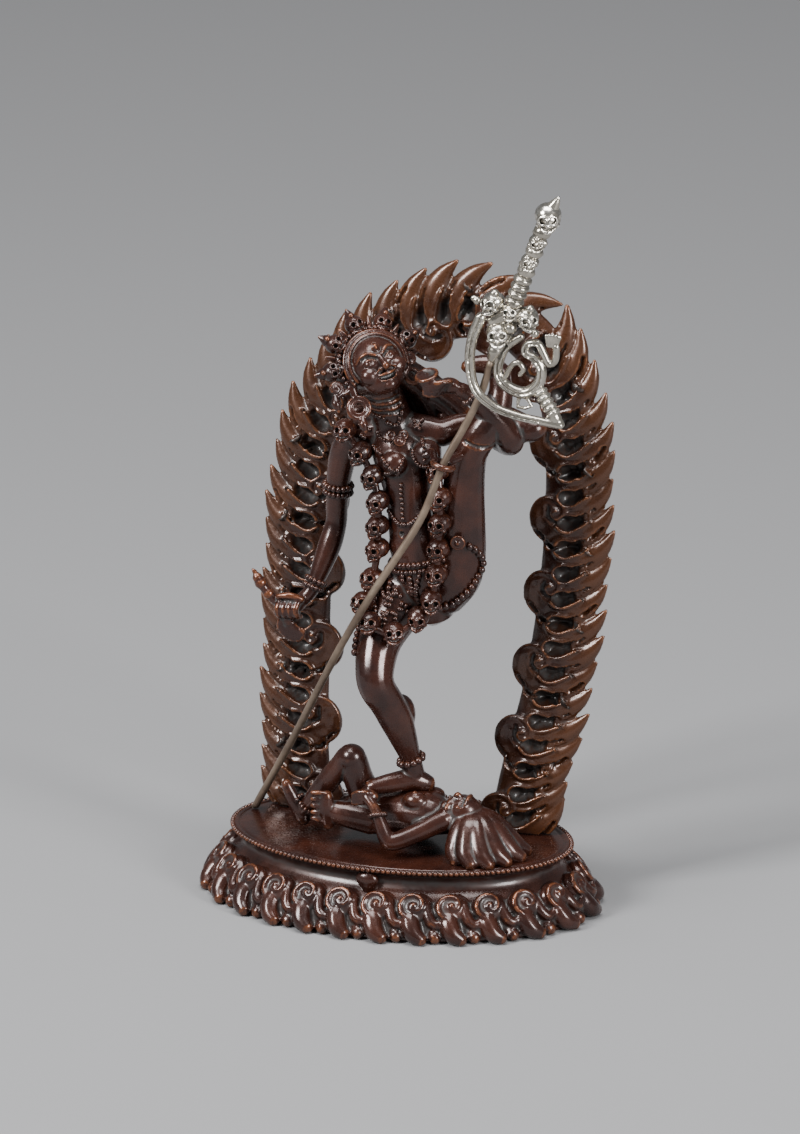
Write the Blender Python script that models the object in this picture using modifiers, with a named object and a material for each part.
"""Small cast statue of a dancing dakini on a lotus base, in a leaning arch of flames.

Metres, +Z up. The origin is the middle of the base's underside; the figure faces -Y.
The figure, the flames and the staff are free forms: their points are given in units of
their own height, which are a millimetre long at the height that they have here.
"""

import math

import bmesh
import bpy
from mathutils import Matrix, Vector

# Driving dimensions of the base
PLATE_WIDTH = 0.0708
PLATE_DEPTH = 0.0460
BASE_HEIGHT = 0.0135
SKIRT_SPREAD = 0.0042
RIM_WIDTH = 0.0014
RIM_HEIGHT = 0.0006
NECK_HEIGHT = 0.0042
PETAL_COUNT = 26
PETAL_REACH = 0.0020
PETAL_WIDTH = 0.0078
TAB_WIDTH = 0.0052

# Driving dimensions of what stands on it
FIGURE_HEIGHT = 0.1110
FLAME_HEIGHT = 0.1190
FLAME_THICKNESS = 0.0046
FLAME_LEAN = math.radians(6.0)
FLAME_SETBACK = 0.0078
SHAFT_DIAMETER = 0.0015
HEAD_HEIGHT = 0.0470

# Clearances
SEAT_GAP = 0.0003
RING_CLEARANCE = 0.0005

FIGURE_UNIT = FIGURE_HEIGHT / 111
FLAME_UNIT = FLAME_HEIGHT / 119
HEAD_UNIT = HEAD_HEIGHT / 47

# The skin's cell on the figure, and the share of its faces that each casting keeps
FIGURE_SKIN = 0.00035
FIGURE_KEPT = 0.017
BASE_KEPT = 0.31
FLAME_KEPT = 0.32
HEAD_KEPT = 0.42
SEAT_Z = BASE_HEIGHT + SEAT_GAP


def clear_scene():
    for obj in list(bpy.data.objects):
        bpy.data.objects.remove(obj, do_unlink=True)


def new_collection(name, parent=None):
    collection = bpy.data.collections.new(name)
    (parent or bpy.context.scene.collection).children.link(collection)
    return collection


def metal(name, colour, roughness):
    material = bpy.data.materials.new(name)
    material.use_nodes = True
    shader = material.node_tree.nodes["Principled BSDF"]
    shader.inputs["Base Color"].default_value = (*colour, 1.0)
    shader.inputs["Roughness"].default_value = roughness
    shader.inputs["Metallic"].default_value = 1.0
    return material


class Casting:
    """The overlapping shapes of one casting, which a union makes one solid."""

    def __init__(self, name, unit=1.0, foot=Vector((0, 0, 0)), turn=None):
        self.name = name
        self.shapes = new_collection(name + "_shapes", CUTTERS)
        self.place = Matrix.Translation(foot) @ (turn or Matrix()) @ Matrix.Scale(unit, 4)

    def add_object(self, data, matrix=None):
        obj = bpy.data.objects.new(f"{self.name}_shape", data)
        obj.matrix_world = self.place @ (matrix or Matrix())
        obj.hide_render = True
        obj.display_type = "WIRE"
        self.shapes.objects.link(obj)
        return obj

    def add_mesh(self, bm, matrix=None):
        mesh = bpy.data.meshes.new(self.name)
        bmesh.ops.recalc_face_normals(bm, faces=bm.faces)
        bm.to_mesh(mesh)
        bm.free()
        return self.add_object(mesh, matrix)

    def ball(self, centre, radii, turn=None, sides=8, rings=5):
        """An egg with these radii, turned before it is placed."""
        if isinstance(radii, (int, float)):
            radii = (radii, radii, radii)
        bm = bmesh.new()
        shape = Matrix.Translation(centre) @ (turn or Matrix()) @ Matrix.Diagonal((*radii, 1))
        bmesh.ops.create_uvsphere(bm, u_segments=sides, v_segments=rings, radius=1, matrix=shape)
        return self.add_mesh(bm)

    def tube(self, stations, sides=8, steps=2, closed=False, matrix=None):
        """A round bar through stations of (x, y, z, radius), with domed ends."""
        path = smooth_path(stations, steps, closed)
        if not closed:
            path = [domed(path[0], path[1])] + path + [domed(path[-1], path[-2])]
        curve = bpy.data.curves.new(self.name, "CURVE")
        curve.dimensions = "3D"
        curve.bevel_depth = 1.0
        curve.bevel_resolution = (sides - 4) // 2
        curve.use_fill_caps = not closed
        spline = curve.splines.new("POLY")
        spline.points.add(len(path) - 1)
        for point, (x, y, z, radius) in zip(spline.points, path):
            point.co = (x, y, z, 1)
            point.radius = radius
        spline.use_cyclic_u = closed
        return self.add_object(curve, matrix)

    def ring(self, centre, axis, radius, wire, sides=6, count=10):
        """A round ring of this wire radius about an axis through its centre."""
        turn = Vector((0, 0, 1)).rotation_difference(Vector(axis)).to_matrix()
        stations = []
        for k in range(count):
            angle = 2 * math.pi * k / count
            spot = Vector(centre) + turn @ Vector((math.cos(angle), math.sin(angle), 0)) * radius
            stations.append((*spot, wire))
        return self.tube(stations, sides=sides, steps=1, closed=True)

    def cut_below(self, height):
        """A cutter for all that lies under this height."""
        reach = PLATE_WIDTH
        bm = bmesh.new()
        shape = Matrix.Translation((0, 0, height - reach / 2)) @ Matrix.Scale(reach * 2, 4)
        shape[2][2] = reach
        bmesh.ops.create_cube(bm, size=1, matrix=shape)
        mesh = bpy.data.meshes.new(self.name + "_cutter")
        bm.to_mesh(mesh)
        bm.free()
        cutter = bpy.data.objects.new(self.name + "_cutter", mesh)
        cutter.hide_render = True
        cutter.display_type = "WIRE"
        CUTTERS.objects.link(cutter)
        return cutter

    def fuse(self, material, kept_faces, cutter=None):
        """One solid of all the shapes. Thinning its faces takes out the slivers along the joins."""
        make_curves_meshes(self.shapes)
        body = self.first_shape_as_body(material)
        join = body.modifiers.new("one casting", "BOOLEAN")
        join.operation = "UNION"
        join.operand_type = "COLLECTION"
        join.collection = self.shapes
        join.solver = "EXACT"
        thin = body.modifiers.new("fewer faces", "DECIMATE")
        thin.ratio = kept_faces
        thin.use_collapse_triangulate = True
        if cutter:
            flat_foot(body, cutter)
        return body

    def melt(self, material, skin, kept_faces, cutter):
        """One solid of very many shapes: a skin of cells this size round them all, then thinned."""
        make_curves_meshes(self.shapes)
        bm = bmesh.new()
        for obj in list(self.shapes.objects):
            obj.data.transform(obj.matrix_world)
            bm.from_mesh(obj.data)
            bpy.data.objects.remove(obj)
        self.place = Matrix()
        self.add_mesh(bm)
        body = self.first_shape_as_body(material)
        wrap = body.modifiers.new("one casting", "REMESH")
        wrap.mode = "VOXEL"
        wrap.voxel_size = skin
        thin = body.modifiers.new("fewer faces", "DECIMATE")
        thin.ratio = kept_faces
        thin.use_collapse_triangulate = True
        flat_foot(body, cutter)
        return body

    def first_shape_as_body(self, material):
        core = self.shapes.objects[0]
        body = bpy.data.objects.new(self.name, core.data)
        body.matrix_world = core.matrix_world
        bpy.data.objects.remove(core)
        PARTS.objects.link(body)
        body.data.materials.clear()
        body.data.materials.append(material)
        body.data.shade_smooth()
        return body


def flat_foot(body, cutter):
    cut = body.modifiers.new("flat foot", "BOOLEAN")
    cut.operation = "DIFFERENCE"
    cut.object = cutter
    cut.solver = "EXACT"


def make_curves_meshes(collection):
    bpy.context.view_layer.update()
    graph = bpy.context.evaluated_depsgraph_get()
    for obj in list(collection.objects):
        if obj.type != "CURVE":
            continue
        mesh = bpy.data.meshes.new_from_object(obj.evaluated_get(graph))
        bm = bmesh.new()
        bm.from_mesh(mesh)
        bmesh.ops.remove_doubles(bm, verts=bm.verts, dist=1e-6)
        bmesh.ops.recalc_face_normals(bm, faces=bm.faces)
        bm.to_mesh(mesh)
        bm.free()
        solid = bpy.data.objects.new(obj.name, mesh)
        solid.matrix_world = obj.matrix_world
        solid.hide_render = True
        solid.display_type = "WIRE"
        collection.objects.link(solid)
        bpy.data.objects.remove(obj)


def smooth_path(stations, steps, closed=False):
    """Points on a smooth curve through the stations, steps to a stretch."""
    stations = [Vector(s) for s in stations]
    count = len(stations)
    stretches = count if closed else count - 1
    path = []
    for i in range(stretches):
        if closed:
            a, b, c, d = (stations[(i + k) % count] for k in (-1, 0, 1, 2))
        else:
            b, c = stations[i], stations[i + 1]
            a = stations[i - 1] if i else b * 2 - c
            d = stations[i + 2] if i + 2 < count else c * 2 - b
        for step in range(steps):
            t = step / steps
            path.append(
                b + (c - a) * (t / 2)
                + (a * 2 - b * 5 + c * 4 - d) * (t * t / 2)
                + (b * 3 - a - c * 3 + d) * (t * t * t / 2)
            )
    if not closed:
        path.append(stations[-1])
    return [tuple(p) for p in path]


def domed(end, inner):
    """A point just past the end of a path, with half its radius."""
    spot = Vector(end[:3])
    out = (spot - Vector(inner[:3])).normalized()
    return (*(spot + out * end[3] * 0.6), end[3] * 0.5)


def loft(bm, rings):
    """Faces between rings of equal count, with both ends closed."""
    loops = [[bm.verts.new(p) for p in ring] for ring in rings]
    for low, high in zip(loops, loops[1:]):
        for i in range(len(low)):
            k = (i + 1) % len(low)
            bm.faces.new((low[i], low[k], high[k], high[i]))
    bm.faces.new(loops[0])
    bm.faces.new(loops[-1])


def oval_point(turn, out, height):
    """A point this far outside the plate's oval edge. turn runs from 0 to 1 round it."""
    angle = 2 * math.pi * turn
    return Vector((
        (PLATE_WIDTH / 2 + out) * math.cos(angle),
        (PLATE_DEPTH / 2 + out) * math.sin(angle),
        height,
    ))


def even_turns(count):
    """Turns round the oval that lie an equal way apart along its edge, from the front."""
    fine = 720
    points = [oval_point(k / fine - 0.25, SKIRT_SPREAD, 0) for k in range(fine + 1)]
    lengths = [0.0]
    for a, b in zip(points, points[1:]):
        lengths.append(lengths[-1] + (b - a).length)
    turns = []
    k = 0
    for i in range(count):
        wanted = lengths[-1] * (i + 0.5) / count
        while lengths[k] < wanted:
            k += 1
        turns.append(k / fine - 0.25)
    return turns


def lotus_base(material):
    """Flat plate with a raised rim, a hollow neck under it and a spreading skirt of petals."""
    base = Casting("lotus_base")
    neck_z = BASE_HEIGHT - NECK_HEIGHT
    profile = (
        (SKIRT_SPREAD - 0.0006, -0.0010),
        (SKIRT_SPREAD + 0.0004, 0.0008),
        (SKIRT_SPREAD - 0.0010, neck_z * 0.50),
        (-0.0018, neck_z * 0.88),
        (-0.0022, neck_z),
        (-0.0016, BASE_HEIGHT - 0.0016),
        (-0.0002, BASE_HEIGHT - 0.0010),
        (0.0, BASE_HEIGHT + RIM_HEIGHT * 0.4),
        (-RIM_WIDTH * 0.5, BASE_HEIGHT + RIM_HEIGHT),
        (-RIM_WIDTH, BASE_HEIGHT),
    )
    sides = 48
    bm = bmesh.new()
    loft(bm, [[oval_point(i / sides, out, z) for i in range(sides)] for out, z in profile])
    base.add_mesh(bm)
    for turn in even_turns(PETAL_COUNT):
        petal(base, turn, neck_z)
    base_tab(base)
    return base.fuse(material, BASE_KEPT, base.cut_below(0.0))


def petal(base, turn, neck_z):
    """A curl that leans back under the neck, and tongues that roll out over the foot."""
    angle = 2 * math.pi * turn
    edge = oval_point(turn, SKIRT_SPREAD, 0)
    normal = Vector((math.cos(angle) / PLATE_WIDTH, math.sin(angle) / PLATE_DEPTH, 0)).normalized()
    side = Vector((-normal.y, normal.x, 0))
    frame = Matrix((side, -normal, (0, 0, 1))).transposed().to_4x4()

    def spot(across, out, z, radius):
        return (*(edge + side * across + normal * out + Vector((0, 0, z))), radius)

    half = PETAL_WIDTH / 2
    curl = spot(-half * 0.1, -0.0032, neck_z * 0.77, 0)[:3]
    leaning = frame @ Matrix.Rotation(math.radians(-36), 4, "X")
    base.ball(curl, (half * 0.72, 0.0014, neck_z * 0.29), leaning, sides=8, rings=5)
    for across, reach, width in ((0.30, 1.0, 0.50), (-0.62, 0.35, 0.40)):
        base.tube(
            [
                spot(half * (across - 0.4), -0.0030, neck_z * 0.50, half * width),
                spot(half * (across - 0.1), PETAL_REACH * reach - 0.0018, neck_z * 0.22, half * width),
                spot(half * (across + 0.15), PETAL_REACH * reach, 0.0011, half * width * 0.7),
            ],
            sides=6,
            steps=1,
        )


def base_tab(base):
    """A small three-cornered tab under the middle of the rim."""
    front = oval_point(0.75, 0, 0)
    half = TAB_WIDTH / 2
    top = BASE_HEIGHT - 0.0008
    rings = []
    for x, low in ((-half, 0.0008), (0, 0.0034), (half, 0.0008)):
        rings.append([
            Vector((x, front.y - 0.0002, top)),
            Vector((x, front.y - 0.0002 + 0.0008, top - low)),
            Vector((x, front.y + 0.0045, top - low)),
            Vector((x, front.y + 0.0045, top)),
        ])
    bm = bmesh.new()
    loft(bm, rings)
    base.add_mesh(bm)


def dakini_figure(material):
    """The dancing figure and the one it stands on, in one casting."""
    figure = Casting("dakini_figure", FIGURE_UNIT, Vector((0, 0, BASE_HEIGHT)))
    torso(figure)
    standing_leg(figure)
    raised_leg(figure)
    right_arm_and_knife(figure)
    left_arm_and_cup(figure)
    head_and_crown(figure)
    garland(figure)
    apron(figure)
    trampled_figure(figure)
    return figure.melt(material, FIGURE_SKIN, FIGURE_KEPT, figure.cut_below(SEAT_Z))


def torso(figure):
    figure.tube(
        [
            (7.5, -2.6, 51.0, 5.8),
            (6.4, -3.2, 56.0, 6.4),
            (4.4, -4.4, 63.0, 5.2),
            (3.6, -5.0, 69.4, 4.3),
            (2.3, -4.4, 76.0, 5.2),
            (0.9, -3.2, 82.0, 6.0),
            (-0.8, -2.6, 87.0, 4.2),
            (-1.8, -3.0, 91.0, 2.9),
            (-2.6, -4.4, 96.0, 2.7),
        ],
        sides=12,
        steps=1,
    )
    figure.tube([(-10.2, -2.4, 83.8, 3.0), (-1.0, -2.8, 85.8, 3.4), (8.9, -2.2, 86.4, 3.0)], steps=2)
    for centre in ((1.5, -8.0, 81.0), (8.0, -7.2, 83.6)):
        figure.ball(centre, 2.9, sides=10, rings=7)


def standing_leg(figure):
    figure.tube(
        [
            (2.4, -3.4, 53.0, 6.0),
            (-0.4, -6.0, 47.6, 5.2),
            (-1.8, -10.0, 42.4, 4.4),
            (-1.1, -13.4, 36.6, 3.8),
            (0.9, -11.6, 31.2, 3.6),
            (2.7, -9.6, 26.0, 3.3),
            (4.0, -7.4, 20.0, 2.2),
            (4.9, -6.4, 15.6, 2.1),
        ],
        sides=10,
    )
    figure.tube([(6.6, -5.6, 13.4, 2.1), (3.2, -7.4, 13.8, 2.2), (-4.1, -10.4, 12.4, 1.7)], steps=2)
    figure.ring((4.3, -6.8, 18.0), (-0.25, -0.2, 1), 2.5, 0.7)


def raised_leg(figure):
    """The thigh rises beside the body, and the shin and the foot go on up beside the head."""
    figure.tube(
        [
            (9.5, -2.4, 53.4, 5.6),
            (12.2, -2.8, 58.0, 5.6),
            (13.8, -3.4, 65.0, 5.0),
            (14.4, -4.4, 75.0, 4.3),
            (16.0, -5.6, 84.0, 3.8),
            (19.0, -5.8, 89.4, 3.4),
            (21.4, -3.4, 93.6, 3.0),
            (21.0, -2.0, 99.0, 2.2),
        ],
        sides=10,
    )
    figure.tube([(21.4, -1.8, 99.6, 2.1), (18.6, -3.2, 101.6, 2.0), (15.6, -4.2, 101.6, 1.7)])
    figure.ball((27.4, -0.6, 88.6), (3.6, 2.8, 2.6), Matrix.Rotation(math.radians(-15), 4, "Y"))
    figure.tube([(21.0, -2.6, 91.0, 2.8), (25.6, -1.0, 89.6, 2.8)], steps=1)
    ring_radius = (SHAFT_DIAMETER / 2 + RING_CLEARANCE) / FIGURE_UNIT + 0.7
    x, y, z = shaft_spot(83.6)
    figure.ring((x, y, z), (0.25, 0.1, 1), ring_radius, 0.7)
    figure.tube([(x, y + ring_radius, z, 0.8), (15.4, -8.0, 84.0, 1.0)], sides=6, steps=1)
    figure.ball((14.6, -8.2, 66.1), (1.6, 0.9, 1.6), sides=8, rings=4)
    figure.tube(
        [
            (14.8, -8.0, 66.0, 0.7),
            (17.4, -6.4, 64.4, 0.7),
            (18.4, -4.2, 60.4, 0.7),
            (16.6, -6.6, 54.6, 0.7),
            (12.6, -7.8, 50.8, 0.7),
        ],
        sides=6,
    )


def right_arm_and_knife(figure):
    figure.tube(
        [
            (-9.8, -2.4, 83.6, 3.1),
            (-12.4, -1.6, 76.0, 2.6),
            (-13.4, -0.8, 64.6, 2.3),
            (-14.8, -3.0, 58.0, 2.4),
            (-17.0, -6.0, 51.6, 1.6),
            (-19.0, -7.4, 49.0, 1.6),
        ],
        sides=8,
    )
    figure.ring((-12.7, -1.6, 71.6), (0.1, -0.1, 1), 2.7, 0.7)
    figure.ring((-16.6, -5.4, 52.8), (0.35, 0.4, 1), 2.1, 0.7)
    figure.ball((-20.6, -7.8, 48.2), (3.0, 2.2, 1.9), Matrix.Rotation(math.radians(-10), 4, "Y"))
    figure.tube(
        [
            (-28.4, -8.6, 54.8, 0.8),
            (-27.2, -8.5, 52.8, 1.5),
            (-25.8, -8.4, 51.0, 0.8),
            (-23.4, -8.3, 48.6, 1.2),
            (-21.2, -8.2, 45.4, 1.1),
        ],
        sides=6,
        steps=1,
    )
    blade_turn = Matrix.Rotation(math.radians(40), 4, "Y")
    figure.ball((-20.6, -8.4, 43.2), (3.4, 0.8, 1.9), blade_turn, sides=10, rings=5)


def left_arm_and_cup(figure):
    """The arm goes round behind the thigh, and the forearm comes forward to the mouth."""
    figure.tube(
        [
            (8.9, -2.2, 86.4, 3.0),
            (14.0, 1.2, 87.0, 2.7),
            (20.4, 0.6, 85.4, 2.7),
            (23.8, -2.8, 86.2, 2.8),
            (20.6, -5.4, 92.4, 2.5),
            (17.4, -7.8, 96.8, 1.9),
            (15.0, -9.0, 98.2, 1.6),
        ],
        sides=8,
    )
    figure.ring((16.8, -8.2, 97.4), (-0.7, -0.4, 0.6), 2.2, 0.7)
    figure.ball((13.0, -9.4, 98.9), (2.6, 1.8, 1.9))
    figure.ball((9.2, -10.4, 100.1), (2.7, 2.2, 1.5))
    figure.tube([(9.6, -10.0, 99.8, 1.2), (3.0, -8.0, 99.2, 1.0)], sides=6, steps=1)


def head_and_crown(figure):
    """The head leans to its right and looks up at the cup; five skulls fan out behind the brow."""
    tilt = (
        Matrix.Rotation(math.radians(34.4), 4, "Z")
        @ Matrix.Rotation(math.radians(-29.7), 4, "X")
        @ Matrix.Rotation(math.radians(-17.0), 4, "Y")
    )
    centre = Vector((-3.2, -7.0, 100.3))
    figure.ball(centre, (6.0, 5.8, 6.2), tilt, sides=12, rings=8)

    def on_head(x, y, z):
        return centre + tilt @ Vector((x, y, z))

    def beside(degrees, reach):
        """A place in the plane of the crown, this far from its middle."""
        angle = math.radians(degrees)
        return on_head(reach * math.cos(angle), 0.8, 0.6 + reach * math.sin(angle))

    figure.ball(on_head(0, -3.4, -3.4), (3.0, 2.4, 2.8), tilt)
    figure.ball(on_head(0, -5.5, -0.8), (0.8, 0.9, 1.5), tilt, sides=6, rings=4)
    figure.tube([(*beside(degrees, 6.7), 1.3) for degrees in range(-20, 201, 22)], sides=6, steps=1)
    for degrees in (168, 130, 92, 53, 14):
        skull(figure, beside(degrees, 8.5), 1.75)
        figure.tube([(*beside(degrees, 8.8), 1.2), (*beside(degrees, 12.0), 0.4)], sides=6, steps=1)
    ear = on_head(-6.9, -0.6, -6.2)
    figure.ring(ear, tilt @ Vector((-0.3, -1, 0)), 1.7, 0.8, count=8)
    figure.tube([(*on_head(-5.4, 0, -1.6), 1.1), (*on_head(-6.6, -0.4, -4.4), 0.8)], sides=6, steps=1)
    figure.tube([(*on_head(-6.9, -0.6, -8.2), 0.9), (*on_head(-7.4, -0.6, -10.2), 0.9)], sides=6, steps=1)
    figure.tube([(*on_head(-7.0, -0.4, -1.4), 1.3), (*on_head(-10.2, -0.4, -1.6), 1.2)], sides=6, steps=1)
    figure.tube([(*on_head(5.2, -0.4, -1.4), 1.2), (*on_head(6.9, -0.6, -1.6), 1.4)], sides=6, steps=1)
    figure.tube(
        [
            (*on_head(0.6, 2.4, 1.0), 4.6),
            (0.6, 1.2, 92.0, 4.2),
            (2.2, 1.6, 84.0, 4.0),
            (4.2, 0.6, 74.0, 3.0),
            (5.4, 0.2, 66.0, 1.6),
        ],
        sides=8,
        steps=1,
    )


def skull(figure, centre, size):
    """A round skull whose jaw comes forward and down."""
    figure.ball(centre, size, sides=8, rings=6)
    figure.ball(centre + Vector((0, -0.45, -0.65)) * size, size * 0.62, sides=6, rings=4)


def garland(figure):
    """A long loop of skulls that hangs from the shoulders over the belly and the thighs."""
    front = smooth_path(
        [
            (-9.3, -5.2, 85.4), (-5.9, -8.0, 81.6), (-1.9, -9.6, 75.6), (-2.2, -9.8, 68.4),
            (-3.9, -10.4, 62.4), (-5.0, -10.8, 56.2), (-4.8, -11.2, 50.6), (-0.4, -13.2, 46.8),
            (4.5, -12.6, 47.2), (8.4, -10.4, 51.0), (10.2, -9.6, 56.8), (11.0, -8.8, 62.4),
            (11.6, -8.6, 68.0), (11.8, -8.4, 74.0), (11.4, -7.4, 80.0),
        ],
        4,
    )
    back = smooth_path(
        [(-9.6, 0.4, 87.2), (-6.4, 3.8, 84.0), (-1.0, 5.6, 81.0), (5.0, 4.6, 83.0), (9.4, 1.0, 87.6)],
        4,
    )
    for path, size in ((front, 2.2), (back, 1.95)):
        figure.tube([(*p, 0.9) for p in path[::2]], sides=4, steps=1)
        for spot in evenly(path, 5.3):
            skull(figure, spot, size)


def evenly(path, pitch):
    """Points along a path that lie the pitch apart."""
    path = [Vector(p) for p in path]
    lengths = [0.0]
    for a, b in zip(path, path[1:]):
        lengths.append(lengths[-1] + (b - a).length)
    count = round(lengths[-1] / pitch)
    spots = []
    k = 0
    for i in range(count + 1):
        wanted = lengths[-1] * i / count
        while k < len(path) - 2 and lengths[k + 1] < wanted:
            k += 1
        share = (wanted - lengths[k]) / (lengths[k + 1] - lengths[k])
        spots.append(path[k].lerp(path[k + 1], min(share, 1.0)))
    return spots


def apron(figure):
    """A belt of beads round the hips and the strings that hang from it."""
    middle = Vector((5.2, -3.6, 59.0))
    belt = []
    for k in range(14):
        angle = 2 * math.pi * k / 14
        out = Vector((6.6 * math.cos(angle), 6.4 * math.sin(angle), 1.6 * math.cos(angle)))
        belt.append((*(middle + out), 0.9))
    figure.tube(belt, sides=6, steps=1, closed=True)
    for across, drop in ((-1.6, 11.0), (1.2, 9.4), (4.0, 8.6), (7.0, 7.4)):
        top = Vector((across, -9.4 + 0.05 * across ** 2, 58.6))
        low = top + Vector((-1.0, -1.6, -drop))
        middle = top.lerp(low, 0.5) + Vector((0, -1.0, 0))
        figure.tube([(*top, 0.8), (*middle, 0.9), (*low, 1.0)], sides=6, steps=1)
    tassel = [(-5.4, -8.6, 50.0, 1.4), (-5.8, -9.4, 46.0, 1.2), (-4.6, -11.6, 41.0, 1.0)]
    figure.tube(tassel, sides=6, steps=1)


def trampled_figure(figure):
    """A figure on its back across the plate, its head to the right and its hair spread out."""
    figure.tube(
        [
            (-8.4, -4.6, 5.2, 4.0),
            (-3.4, -5.4, 6.0, 4.8),
            (2.0, -6.2, 7.0, 4.8),
            (7.0, -6.8, 7.2, 5.0),
            (11.6, -7.0, 6.4, 3.8),
        ],
        sides=10,
        steps=1,
    )
    figure.ball((15.2, -7.0, 8.2), (4.0, 3.6, 3.9), sides=10, rings=6)
    legs = (
        [(-4.0, -6.0, 7.0, 3.4), (-7.6, -7.6, 14.0, 3.0), (-8.6, -8.0, 18.2, 2.6),
         (-12.4, -7.6, 12.6, 2.3), (-18.2, -6.6, 5.4, 1.5), (-19.6, -6.2, 3.6, 1.7)],
        [(-3.4, -8.4, 5.0, 3.0), (-8.4, -9.6, 6.0, 2.6), (-13.4, -10.2, 6.0, 1.9)],
    )
    for leg in legs:
        figure.tube(leg, sides=8, steps=2)
    figure.tube([(-19.8, -6.2, 3.4, 1.6), (-22.4, -6.2, 8.6, 1.3), (-23.4, -6.0, 10.4, 1.0)], sides=6)
    figure.tube([(-14.2, -10.4, 4.4, 1.6), (-14.4, -10.6, 9.4, 1.3)], sides=6)
    figure.tube(
        [
            (11.6, -9.8, 6.2, 2.2),
            (6.6, -13.2, 4.0, 1.9),
            (2.4, -15.4, 2.6, 1.8),
            (0.2, -15.0, 6.4, 1.4),
            (-1.2, -14.0, 9.4, 1.2),
            (-3.8, -12.2, 11.4, 1.6),
        ],
        sides=8,
    )
    figure.tube([(10.4, -3.0, 6.0, 2.2), (4.0, 0.2, 3.0, 1.9), (-1.6, 0.6, 2.0, 1.6)], sides=6, steps=1)
    figure.ball((4.2, -8.6, 10.6), (2.6, 1.8, 1.5))
    root = Vector((18.4, -6.4, 6.8))
    for k in range(7):
        angle = math.radians(-122 + 22 * k)
        tip = Vector((18.4 + 9.4 * math.cos(angle), -6.6 + 8.6 * math.sin(angle), 0.8))
        middle = root.lerp(tip, 0.55) + Vector((0, 0, 1.6))
        figure.tube([(*root, 2.2), (*middle, 1.9), (*tip, 1.0)], sides=6, steps=1)


# The flames' middle line, across and up, from the right foot over the top to the left foot
FLAME_LINE = (
    (23.0, -2.0), (22.2, 5.0), (24.2, 16.0), (27.0, 28.0), (29.0, 41.0), (30.2, 54.0),
    (30.6, 67.0), (30.2, 79.0), (28.2, 90.0), (22.4, 100.0), (13.0, 105.6), (2.0, 104.2),
    (-8.0, 98.6), (-16.0, 90.2), (-21.6, 80.0), (-24.0, 68.0), (-24.6, 55.0), (-24.6, 42.0),
    (-24.4, 29.0), (-24.2, 16.0), (-23.4, 5.0), (-23.6, -2.0),
)
# The flames of both sides run up to this point of the line
FLAME_MEETING = 9
FLAME_BAND_WIDTH = 9.6
FLAME_CLUSTER_PITCH = 15.6
TONGUES_PER_CLUSTER = 3


def flame_mandorla(material):
    """An arch of scrolls, each of which breaks into three tongues of flame on its outer side."""
    flat = FLAME_THICKNESS / (2 * FLAME_UNIT)
    lean = Matrix.Rotation(-FLAME_LEAN, 4, "X")
    flames = Casting("flame_mandorla", FLAME_UNIT, Vector((0, FLAME_SETBACK, BASE_HEIGHT)), lean)
    half_band = FLAME_BAND_WIDTH / 2
    spine = [(x, 0, z, half_band) for x, z in FLAME_LINE]
    flames.tube(spine, sides=8, steps=2, matrix=Matrix.Diagonal((1, flat / half_band * 0.72, 1, 1)))
    right = [(x, 0, z) for x, z in FLAME_LINE[:FLAME_MEETING + 1]]
    left = [(x, 0, z) for x, z in FLAME_LINE[:FLAME_MEETING - 1:-1]]
    for path, outward in ((right, 1), (left, -1)):
        spots = evenly(smooth_path(path, 4), FLAME_CLUSTER_PITCH / TONGUES_PER_CLUSTER)
        for k in range(1, len(spots) - (outward < 0)):
            before = spots[k - 1]
            after = spots[min(k + 1, len(spots) - 1)]
            along = (after - before).normalized()
            outer = Vector((along.z, 0, -along.x)) * outward
            tongue(flames, spots[k], along, outer, flat)
            if k % TONGUES_PER_CLUSTER == 1:
                scroll(flames, spots[k], along, outer, flat)
    return flames.fuse(material, FLAME_KEPT, flames.cut_below(SEAT_Z))


def tongue(flames, spot, along, outer, flat):
    """One flame: it leaves the band outwards and bends up to a point."""
    stations = []
    for out, up, radius in ((-1.0, -3.4, 2.2), (3.4, -2.6, 2.3), (6.6, 0.4, 1.6), (8.8, 4.4, 0.45)):
        stations.append((*(spot + outer * out + along * up), radius))
    flames.tube(stations, sides=6, steps=1, matrix=Matrix.Diagonal((1, flat / 2.3 * 0.9, 1, 1)))


def scroll(flames, spot, along, outer, flat):
    """The round lobe on the inner side of a cluster, with the eye of its spiral."""
    centre = spot - outer * 3.6 + along * 0.6
    up = Matrix.Rotation(math.radians(90), 4, "X")
    flames.ball(centre, (4.6, flat * 0.92, 5.4), sides=10, rings=5)
    flames.ball(centre + Vector((0, -flat * 0.8, 0)), (1.5, 1.5, 0.9), up, sides=6, rings=4)


def shaft_spot(height):
    """Where the staff's middle line is at a height above the plate, in the figure's units."""
    for low, high in zip(SHAFT_LINE, SHAFT_LINE[1:]):
        if high[2] >= height:
            break
    share = (height - low[2]) / (high[2] - low[2])
    return Vector(low).lerp(Vector(high), share)


SHAFT_LINE = smooth_path(
    [
        (-32.6, 3.4, 0.0), (-21.3, -3.4, 19.8), (-9.7, -12.2, 40.7), (-0.7, -16.8, 55.9),
        (8.8, -15.6, 71.6), (13.4, -14.2, 83.8), (17.0, -13.0, 91.0), (20.6, -12.6, 98.6),
        (22.8, -12.6, 105.6),
    ],
    2,
)


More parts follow.
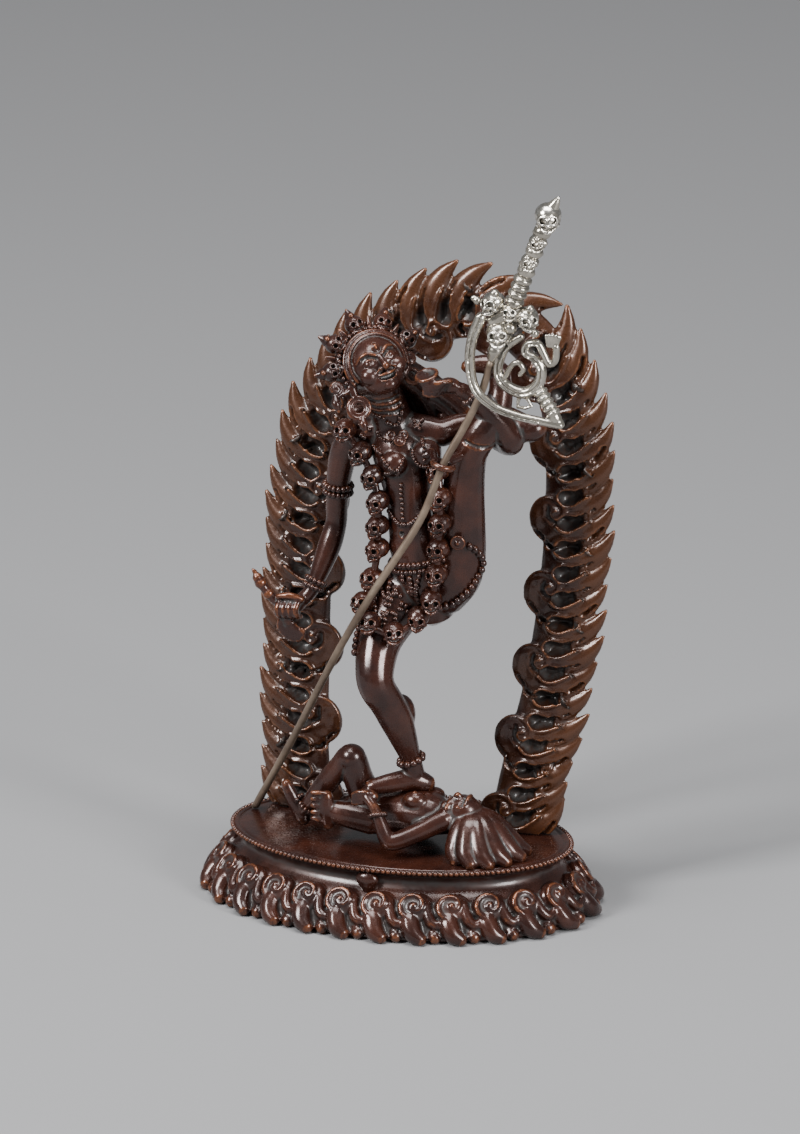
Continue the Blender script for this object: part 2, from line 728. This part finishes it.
def staff_shaft(material):
    """A wire bent to pass over the belly, round the thigh's ring and up to the silver head."""
    shaft = Casting("staff_shaft", FIGURE_UNIT, Vector((0, 0, BASE_HEIGHT)))
    radius = SHAFT_DIAMETER / 2 / FIGURE_UNIT
    shaft.tube([(*p, radius) for p in SHAFT_LINE], sides=8, steps=1)
    make_curves_meshes(shaft.shapes)
    body = shaft.first_shape_as_body(material)
    flat_foot(body, shaft.cut_below(SEAT_Z))
    return body


def khatvanga_head(material):
    """The staff's silver head: heads and a skull on a ringed column, with a bow and a scroll."""
    top = Vector(SHAFT_LINE[-1]) * FIGURE_UNIT + Vector((0, 0, BASE_HEIGHT))
    foot = top + Vector((0, 0, SHAFT_DIAMETER / 2 + SEAT_GAP))
    head = Casting("khatvanga_head", HEAD_UNIT, foot)
    head.ball((0.2, 0, 5.0), (2.7, 2.5, 3.2), sides=10, rings=7)
    head.tube([(0.2, 0, 0.3, 1.1), (0.2, 0, 3.0, 1.2)], sides=8, steps=1)
    head.ball((-0.4, 0, 10.8), (2.3, 2.3, 2.4), sides=10, rings=6)
    head.ball((7.2, 0.6, 8.4), (2.3, 2.2, 2.4), sides=10, rings=6)
    head.tube([(0.0, 0.2, 7.4, 1.7), (3.6, 0.4, 10.2, 2.0), (6.4, 0.6, 9.0, 1.7)], sides=8, steps=2)
    for x, z in ((-2.4, 11.8), (1.4, 12.8), (8.2, 11.0), (9.4, 7.0)):
        head.ball((x, 0.3, z), 1.3, sides=6, rings=4)
    ringed_bar(head, Vector((3.6, 0.4, 10.0)), Vector((11.6, 0.4, 29.0)), 1.6, 1.0, 8)
    head.ball((12.0, 0.4, 30.6), (2.6, 2.4, 2.7), sides=10, rings=7)
    head.tube([(12.6, 0.4, 32.4, 1.3), (14.0, 0.4, 35.2, 0.5)], sides=6, steps=1)
    head.tube(
        [
            (-2.2, -0.6, 9.6, 0.8), (-3.3, -1.4, 4.6, 0.9), (-3.6, -1.9, -1.0, 0.9),
            (-2.6, -2.0, -5.6, 0.9), (0.4, -2.0, -9.0, 0.9), (6.0, -1.6, -11.8, 0.9),
            (15.2, 0, -12.6, 0.7),
        ],
        sides=8,
        steps=2,
    )
    head.tube(
        [
            (6.6, 0, 6.0, 1.0), (3.6, 0, 3.4, 1.0), (2.2, 0, -0.8, 1.1), (5.0, 0, -5.2, 1.2),
            (9.6, 0, -4.2, 1.1), (10.8, 0, 0.2, 1.0), (8.8, 0, 3.6, 1.0), (11.0, 0, 6.4, 1.0),
            (14.6, 0, 5.8, 0.9), (14.4, 0, 3.0, 0.7),
        ],
        sides=8,
        steps=2,
    )
    ringed_bar(head, Vector((9.4, 0, -5.0)), Vector((14.0, 0, -11.4)), 1.2, 1.0, 4)
    head.tube([(0.2, 0, 3.4, 1.2), (3.4, 0, 2.6, 1.2)], sides=6, steps=1)
    return head.fuse(material, HEAD_KEPT)


def ringed_bar(head, low, high, wide, narrow, rings):
    """A bar turned into a row of rings."""
    stations = []
    for k in range(2 * rings + 1):
        radius = wide if k % 2 else narrow
        stations.append((*low.lerp(high, k / (2 * rings)), radius))
    head.tube(stations, sides=8, steps=1)


clear_scene()
PARTS = new_collection("dakini_statue")
CUTTERS = new_collection("cutters")
copper = metal("oxidised copper", (0.13, 0.06, 0.035), 0.38)
flame_copper = metal("flame copper", (0.17, 0.08, 0.04), 0.40)
silver = metal("silver", (0.78, 0.76, 0.72), 0.28)
wire = metal("staff wire", (0.30, 0.25, 0.19), 0.42)
lotus_base(copper)
dakini_figure(copper)
flame_mandorla(flame_copper)
staff_shaft(wire)
khatvanga_head(silver)
